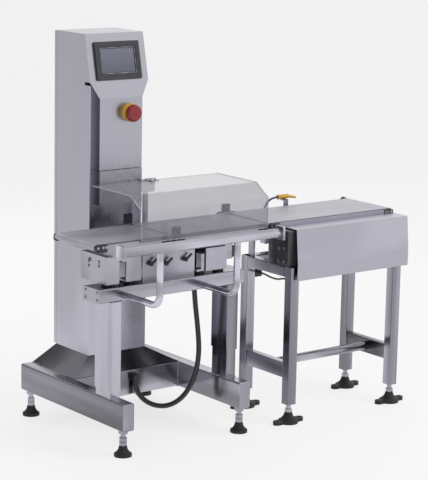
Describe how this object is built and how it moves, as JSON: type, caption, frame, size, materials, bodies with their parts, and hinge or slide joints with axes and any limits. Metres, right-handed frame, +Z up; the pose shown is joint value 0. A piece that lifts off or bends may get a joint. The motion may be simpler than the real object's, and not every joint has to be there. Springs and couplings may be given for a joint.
{
  "type": "checkweigher",
  "caption": "In-line belt checkweigher with a weighing belt under a clear hood, a console column, a floor frame and a separate outfeed stand.",
  "frame": {"origin": "on the floor, at the centre of the bounding box's bottom", "axes": "+X along the belts' travel, +Y to the rear where the column stands, +Z up"},
  "size_m": [1.471, 0.8379, 1.452],
  "materials": {
    "polished_steel": "polished",
    "sheet_steel": "fine brushed",
    "frame_aluminium": "satin anodised",
    "bearing_plastic": "moulded",
    "roller_steel": "ground",
    "pulley_metal": "machined",
    "belt": "woven belt with a smooth face",
    "black_rubber": "matt",
    "motor_paint": "satin",
    "clear_acrylic": "clear, lightly smoked",
    "bezel": "moulded",
    "screen": "unlit display",
    "yellow_plastic": "moulded",
    "red_plastic": "moulded",
    "air_tube": "flexible tube"
  },
  "bodies": {
    "frame": {"air_nozzle": "yellow_plastic", "air_tube": "air_tube", "bearing_blocks": "bearing_plastic", "belt_brackets": "sheet_steel", "bumper_arms": "polished_steel", "bumper_rail": "polished_steel", "cabinet_shell": "sheet_steel", "cable_boxes": "bearing_plastic", "cell_brackets": "sheet_steel", "cell_cover": "sheet_steel", "console_sheets": "sheet_steel", "conveyor_belts": "belt", "door_hinges": "sheet_steel", "drive_belts": "black_rubber", "drive_housing": "motor_paint", "drive_motors": "motor_paint", "floor_beams": "polished_steel", "floor_crossbeams": "polished_steel", "foot_pads": "black_rubber", "foot_stems": "sheet_steel", "frame_bolts": "sheet_steel", "front_guard": "sheet_steel", "hood_hinge": "polished_steel", "hose_glands": "bearing_plastic", "infeed_carrier": "sheet_steel", "load_cell": "frame_aluminium", "main_hose": "black_rubber", "mounting_pads": "black_rubber", "panel_bezel": "bezel", "panel_screen": "screen", "photocells": "bearing_plastic", "posts": "polished_steel", "sensor_cable": "black_rubber", "side_rails": "frame_aluminium", "skirt_cover": "polished_steel", "slider_beds": "frame_aluminium", "stand_brackets": "sheet_steel", "stand_legs": "polished_steel", "stand_rails": "polished_steel", "stop_collar": "yellow_plastic", "support_bar": "polished_steel", "tube_caps": "sheet_steel", "under_frames": "frame_aluminium"},
    "door": {"cabinet_door": "sheet_steel", "door_gasket": "black_rubber"},
    "latch": {"door_latch": "bezel"},
    "stop": {"stop_button": "red_plastic"},
    "hood": {"hood_sheet": "clear_acrylic", "hood_leaf": "sheet_steel"},
    "infeed_drive": {"infeed_drive_roller": "roller_steel"},
    "infeed_tail": {"infeed_tail_roller": "roller_steel"},
    "infeed_motor": {"infeed_motor_pulley": "pulley_metal"},
    "weigh_drive": {"weigh_drive_roller": "roller_steel"},
    "weigh_tail": {"weigh_tail_roller": "roller_steel"},
    "weigh_motor": {"weigh_motor_pulley": "pulley_metal"},
    "outfeed_drive": {"outfeed_drive_roller": "roller_steel"},
    "outfeed_tail": {"outfeed_tail_roller": "roller_steel"},
    "outfeed_motor": {"outfeed_motor_pulley": "pulley_metal"}
  },
  "joints": [
    {"name": "door_hinge", "type": "hinge", "parent": "frame", "child": "door", "pos_m": [-0.224, 0.396, 0.86], "axis": [0, 0, -1], "range_deg": [0, 120]},
    {"name": "latch_turn", "type": "hinge", "parent": "door", "child": "latch", "pos_m": [-0.4565, 0.402, 0.86], "axis": [0, -1, 0], "range_deg": [0, 90]},
    {"name": "stop_push", "type": "slide", "parent": "frame", "child": "stop", "axis": [0, 1, 0], "range_m": [0, 0.006]},
    {"name": "hood_lift", "type": "hinge", "parent": "frame", "child": "hood", "pos_m": [-0.2425, 0.142, 0.909], "axis": [-1, 0, 0], "range_deg": [0, 70]},
    {"name": "infeed_drive_spin", "type": "hinge", "parent": "frame", "child": "infeed_drive", "pos_m": [-0.3623, -0.031, 0.7472], "axis": [0, 1, 0], "continuous": true},
    {"name": "infeed_tail_spin", "type": "hinge", "parent": "frame", "child": "infeed_tail", "pos_m": [-0.6707, -0.031, 0.7472], "axis": [0, 1, 0], "continuous": true},
    {"name": "infeed_motor_spin", "type": "hinge", "parent": "frame", "child": "infeed_motor", "pos_m": [-0.4105, 0.115, 0.664], "axis": [0, 1, 0], "continuous": true},
    {"name": "weigh_drive_spin", "type": "hinge", "parent": "frame", "child": "weigh_drive", "pos_m": [0.0777, -0.031, 0.7472], "axis": [0, 1, 0], "continuous": true},
    {"name": "weigh_tail_spin", "type": "hinge", "parent": "frame", "child": "weigh_tail", "pos_m": [-0.3347, -0.031, 0.7472], "axis": [0, 1, 0], "continuous": true},
    {"name": "weigh_motor_spin", "type": "hinge", "parent": "frame", "child": "weigh_motor", "pos_m": [-0.0385, 0.115, 0.657], "axis": [0, 1, 0], "continuous": true},
    {"name": "outfeed_drive_spin", "type": "hinge", "parent": "frame", "child": "outfeed_drive", "pos_m": [0.7037, -0.031, 0.7472], "axis": [0, 1, 0], "continuous": true},
    {"name": "outfeed_tail_spin", "type": "hinge", "parent": "frame", "child": "outfeed_tail", "pos_m": [0.1053, -0.031, 0.7472], "axis": [0, 1, 0], "continuous": true},
    {"name": "outfeed_motor_spin", "type": "hinge", "parent": "frame", "child": "outfeed_motor", "pos_m": [0.5925, 0.115, 0.664], "axis": [0, 1, 0], "continuous": true}
  ],
  "couplings": [
    {"joint": "infeed_tail_spin", "follows": "infeed_drive_spin", "ratio": 1},
    {"joint": "infeed_motor_spin", "follows": "infeed_drive_spin", "ratio": 0.6667},
    {"joint": "weigh_tail_spin", "follows": "weigh_drive_spin", "ratio": 1},
    {"joint": "weigh_motor_spin", "follows": "weigh_drive_spin", "ratio": 0.6667},
    {"joint": "outfeed_tail_spin", "follows": "outfeed_drive_spin", "ratio": 1},
    {"joint": "outfeed_motor_spin", "follows": "outfeed_drive_spin", "ratio": 0.6667}
  ]
}
